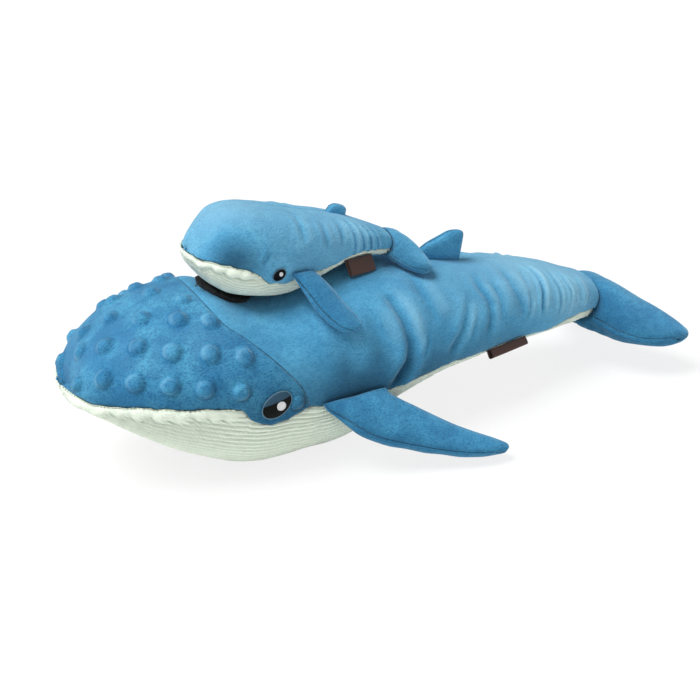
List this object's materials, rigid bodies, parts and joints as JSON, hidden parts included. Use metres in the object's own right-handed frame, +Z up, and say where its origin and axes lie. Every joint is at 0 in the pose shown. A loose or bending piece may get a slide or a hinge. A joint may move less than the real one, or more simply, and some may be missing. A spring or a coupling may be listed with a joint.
{
  "type": "plush whale",
  "caption": "Stuffed plush whale lying on its belly, with swept flippers, back fin and flukes, carrying a smaller plush whale that lifts off a round hook-and-loop patch on its back.",
  "frame": {"origin": "in the flat resting face under the mother whale's belly, on its centre line", "axes": "+X from the snouts to the tails, +Z up, the whales' right side to +Y"},
  "size_m": [0.5168, 0.2638, 0.184],
  "materials": {
    "blue_plush": "short-pile plush, matt",
    "dotted_plush": "short-pile plush with raised dots, matt",
    "mint_plush": "ribbed short-pile plush, matt",
    "filling": "loose fibre filling, hidden",
    "hook_and_loop": "matt woven tape",
    "eye_thread": "satin embroidery",
    "brown_ribbon": "woven ribbon"
  },
  "bodies": {
    "mother": {"mother_stuffing": "filling", "mother_head_panel": "dotted_plush", "mother_back_left": "blue_plush", "mother_back_right": "blue_plush", "mother_belly_panel": "mint_plush", "mother_loop_patch": "hook_and_loop", "mother_eye_left": "eye_thread", "mother_eye_right": "eye_thread"},
    "mother_flipper_left": {"mother_flipper_left_upper": "blue_plush", "mother_flipper_left_lower": "blue_plush", "mother_flipper_left_filling": "filling"},
    "mother_flipper_right": {"mother_flipper_right_upper": "blue_plush", "mother_flipper_right_lower": "blue_plush", "mother_flipper_right_filling": "filling"},
    "mother_fin": {"mother_fin_left": "blue_plush", "mother_fin_right": "blue_plush", "mother_fin_filling": "filling"},
    "mother_flukes": {"mother_flukes_top": "blue_plush", "mother_flukes_bottom": "blue_plush", "mother_flukes_filling": "filling"},
    "mother_label": {"mother_label": "brown_ribbon"},
    "calf": {"calf_stuffing": "filling", "calf_back_left": "blue_plush", "calf_back_right": "blue_plush", "calf_belly_panel": "mint_plush", "calf_hook_patch": "hook_and_loop", "calf_eye_left": "eye_thread", "calf_eye_right": "eye_thread"},
    "calf_flipper_left": {"calf_flipper_left_upper": "blue_plush", "calf_flipper_left_lower": "blue_plush", "calf_flipper_left_filling": "filling"},
    "calf_flipper_right": {"calf_flipper_right_upper": "blue_plush", "calf_flipper_right_lower": "blue_plush", "calf_flipper_right_filling": "filling"},
    "calf_fin": {"calf_fin_left": "blue_plush", "calf_fin_right": "blue_plush"},
    "calf_flukes": {"calf_flukes_top": "blue_plush", "calf_flukes_bottom": "blue_plush", "calf_flukes_filling": "filling"},
    "calf_label": {"calf_label": "brown_ribbon"}
  },
  "joints": [
    {"name": "calf_lift_off", "type": "slide", "parent": "mother", "child": "calf", "axis": [0, 0, 1], "range_m": [0, 0.1]},
    {"name": "mother_flipper_left_swing", "type": "hinge", "parent": "mother", "child": "mother_flipper_left", "pos_m": [0.00199, -0.08221, 0.0555], "axis": [-0.9981, -0.0611, 0], "range_deg": [-8, 35], "stiffness_Nm_per_rad": 0.2},
    {"name": "mother_flipper_right_swing", "type": "hinge", "parent": "mother", "child": "mother_flipper_right", "pos_m": [0.00199, 0.08221, 0.0555], "axis": [0.9981, -0.0611, 0], "range_deg": [-8, 35], "stiffness_Nm_per_rad": 0.2},
    {"name": "mother_fin_fold", "type": "hinge", "parent": "mother", "child": "mother_fin", "pos_m": [0.116, 0, 0.1212], "axis": [0.9952, 0, -0.0976], "range_deg": [-35, 35], "stiffness_Nm_per_rad": 0.05},
    {"name": "mother_flukes_flap", "type": "hinge", "parent": "mother", "child": "mother_flukes", "pos_m": [0.266, 0, 0.0665], "axis": [0, -1, 0], "range_deg": [-10, 20], "stiffness_Nm_per_rad": 0.5},
    {"name": "mother_label_fold", "type": "hinge", "parent": "mother", "child": "mother_label", "pos_m": [0.15818, -0.05651, 0.05273], "axis": [-0.9704, -0.2414, 0], "range_deg": [-8, 35], "stiffness_Nm_per_rad": 0.002},
    {"name": "calf_flipper_left_swing", "type": "hinge", "parent": "calf", "child": "calf_flipper_left", "pos_m": [-0.00152, -0.0404, 0.13979], "axis": [-0.9839, -0.165, 0.0688], "range_deg": [0, 40], "stiffness_Nm_per_rad": 0.05},
    {"name": "calf_flipper_right_swing", "type": "hinge", "parent": "calf", "child": "calf_flipper_right", "pos_m": [-0.00152, 0.0404, 0.13979], "axis": [0.9839, -0.165, -0.0688], "range_deg": [0, 40], "stiffness_Nm_per_rad": 0.05},
    {"name": "calf_fin_fold", "type": "hinge", "parent": "calf", "child": "calf_fin", "pos_m": [0.04074, 0, 0.17063], "axis": [0.9511, 0, -0.309], "range_deg": [-35, 35], "stiffness_Nm_per_rad": 0.01},
    {"name": "calf_flukes_flap", "type": "hinge", "parent": "calf", "child": "calf_flukes", "pos_m": [0.08601, 0, 0.14052], "axis": [0, -1, 0], "range_deg": [-2, 20], "stiffness_Nm_per_rad": 0.08},
    {"name": "calf_label_fold", "type": "hinge", "parent": "calf", "child": "calf_label", "pos_m": [0.05033, -0.02438, 0.13739], "axis": [-0.9497, -0.3059, 0.0664], "range_deg": [0, 30], "stiffness_Nm_per_rad": 0.002}
  ]
}
